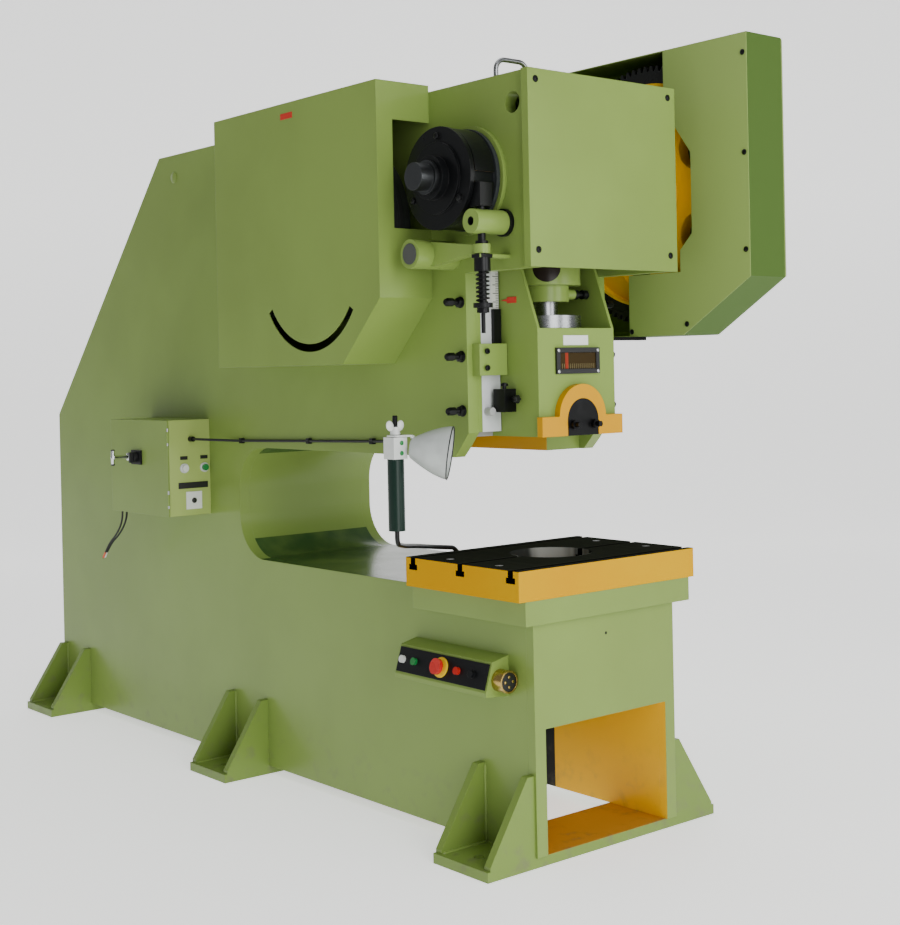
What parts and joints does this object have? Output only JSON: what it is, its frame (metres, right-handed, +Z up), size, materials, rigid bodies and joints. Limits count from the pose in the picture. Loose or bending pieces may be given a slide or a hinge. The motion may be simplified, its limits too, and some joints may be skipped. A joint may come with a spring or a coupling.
{
  "type": "mechanical stamping press",
  "caption": "Deep-throat open-front mechanical stamping press with a crank-driven ram, T-slotted table, guarded gear and flywheel, brake, lamp and electric boxes.",
  "frame": {"origin": "centre of the foundation-bolt pattern, on the floor", "axes": "+X to the machine's right seen from the front, +Y to the rear, +Z up"},
  "size_m": [1.156, 3.15, 2.36],
  "materials": {
    "green_paint": "glossy",
    "yellow_paint": "glossy",
    "bright_steel": "machined",
    "black_steel": "satin",
    "black_plastic": "matte",
    "chrome": "polished",
    "brass": "machined",
    "motor_grey": "painted",
    "white_plastic": "glossy",
    "green_plastic": "glossy",
    "red_plastic": "glossy",
    "dark_green_grip": "satin",
    "bulb_glass": "frosted",
    "rubber": "matte"
  },
  "bodies": {
    "frame": {"feet": "green_paint", "side_plate_left": "green_paint", "side_plate_right": "green_paint", "column_and_seat": "green_paint", "throat_liner": "green_paint", "rear_skin": "green_paint", "lifting_bail": "black_steel", "table": "yellow_paint", "table_bolts": "bright_steel", "guide_blocks": "green_paint", "gibs": "bright_steel", "gib_screws": "black_steel", "shaft_bearings": "green_paint", "brake_band": "black_steel", "drive_belts": "rubber", "motor": "motor_grey", "flywheel_guard": "green_paint", "gear_guard": "green_paint", "front_cover": "green_paint", "cover_screws": "black_steel", "return_spring": "bright_steel", "stop_block": "green_paint", "electric_box": "green_paint", "contactor_panel": "black_steel", "control_panel": "black_steel", "control_box": "green_paint", "desk_socket": "brass", "lamp_head": "white_plastic", "lamp_stand": "dark_green_grip", "wing_nut": "white_plastic", "lamp_cable": "rubber", "left_side_mounts": "green_paint", "supply_wire_left": "rubber", "supply_wire_right": "rubber"},
    "ram": {"ram": "yellow_paint", "shank_clamp": "black_steel", "sight_window": "black_plastic", "connecting_rod": "green_paint", "ball_screw": "bright_steel", "lock_nut": "bright_steel", "cam_block": "black_steel"},
    "star_knob": {"star_knob": "black_plastic"},
    "crank": {"crankshaft": "bright_steel", "brake_drum": "green_paint"},
    "gear": {"bull_gear": "yellow_paint"},
    "pinion": {"pinion_shaft": "bright_steel", "flywheel": "yellow_paint"},
    "motor_rotor": {"motor_pulley": "bright_steel"},
    "pull_rod": {"pull_rod": "black_steel"},
    "release_lever": {"release_lever": "green_paint"},
    "box_door": {"box_door": "green_paint"},
    "door_handle": {"door_handle": "chrome"},
    "switch_knob": {"switch_knob": "black_plastic"},
    "white_button": {"white_button": "white_plastic"},
    "green_button": {"green_button": "green_plastic"},
    "start_button": {"start_button": "white_plastic"},
    "jog_button": {"jog_button": "green_plastic"},
    "stop_button": {"stop_button": "red_plastic"},
    "lamp_shade": {"lamp_shade": "white_plastic", "lamp_bulb": "bulb_glass"}
  },
  "joints": [
    {"name": "ram_slide", "type": "slide", "parent": "frame", "child": "ram", "axis": [0, 0, -1], "range_m": [0, 0.1]},
    {"name": "crank_turn", "type": "hinge", "parent": "frame", "child": "crank", "pos_m": [0, -1.247, 1.919], "axis": [-1, 0, 0], "range_deg": [0, 180.01]},
    {"name": "gear_spin", "type": "hinge", "parent": "frame", "child": "gear", "pos_m": [0, -1.247, 1.919], "axis": [1, 0, 0], "continuous": true},
    {"name": "pinion_spin", "type": "hinge", "parent": "frame", "child": "pinion", "pos_m": [0, -0.78025, 1.807], "axis": [1, 0, 0], "continuous": true},
    {"name": "motor_spin", "type": "hinge", "parent": "frame", "child": "motor_rotor", "pos_m": [0, -0.33, 1.575], "axis": [1, 0, 0], "continuous": true},
    {"name": "lever_turn", "type": "hinge", "parent": "frame", "child": "release_lever", "pos_m": [-0.39, -1.157, 1.712], "axis": [-1, 0, 0], "range_deg": [0, 1.48], "stiffness_Nm_per_rad": 900, "springref_deg": -1.15},
    {"name": "pull_rod_slide", "type": "slide", "parent": "frame", "child": "pull_rod", "axis": [0, 0, 1], "range_m": [0, 0.00601], "deforming": ["return_spring"]},
    {"name": "star_knob_turn", "type": "hinge", "parent": "ram", "child": "star_knob", "pos_m": [-0.173, -1.29, 1.292], "axis": [0, 1, 0], "continuous": true},
    {"name": "shade_swivel", "type": "hinge", "parent": "frame", "child": "lamp_shade", "pos_m": [-0.488, -1.133, 1.193], "axis": [0, 0, 1], "range_deg": [-60, 4]},
    {"name": "door_hinge", "type": "hinge", "parent": "frame", "child": "box_door", "pos_m": [-0.456, 0.235, 1.048], "axis": [0, 0, 1], "range_deg": [0, 100]},
    {"name": "handle_turn", "type": "hinge", "parent": "box_door", "child": "door_handle", "pos_m": [-0.455, 0.525, 1.083], "axis": [-1, 0, 0], "range_deg": [0, 90]},
    {"name": "switch_turn", "type": "hinge", "parent": "box_door", "child": "switch_knob", "pos_m": [-0.463, 0.466, 1.083], "axis": [-1, 0, 0], "range_deg": [0, 90]},
    {"name": "white_press", "type": "slide", "parent": "frame", "child": "white_button", "axis": [0, 1, 0], "range_m": [0, 0.004], "stiffness_N_per_m": 800, "springref_m": -0.002},
    {"name": "green_press", "type": "slide", "parent": "frame", "child": "green_button", "axis": [0, 1, 0], "range_m": [0, 0.004], "stiffness_N_per_m": 800, "springref_m": -0.002},
    {"name": "start_press", "type": "slide", "parent": "frame", "child": "start_button", "axis": [0.9543, 0, -0.2989], "range_m": [0, 0.004], "stiffness_N_per_m": 800, "springref_m": -0.002},
    {"name": "jog_press", "type": "slide", "parent": "frame", "child": "jog_button", "axis": [0.9543, 0, -0.2989], "range_m": [0, 0.004], "stiffness_N_per_m": 800, "springref_m": -0.002},
    {"name": "stop_press", "type": "slide", "parent": "frame", "child": "stop_button", "axis": [0.9543, 0, -0.2989], "range_m": [0, 0.004], "stiffness_N_per_m": 800, "springref_m": -0.002}
  ],
  "couplings": [
    {"joint": "crank_turn", "follows": "ram_slide", "rad_per_m": 31.416},
    {"joint": "pinion_spin", "follows": "gear_spin", "ratio": -5},
    {"joint": "motor_spin", "follows": "gear_spin", "ratio": -22.304},
    {"joint": "pull_rod_slide", "follows": "lever_turn", "m_per_rad": 0.233}
  ]
}
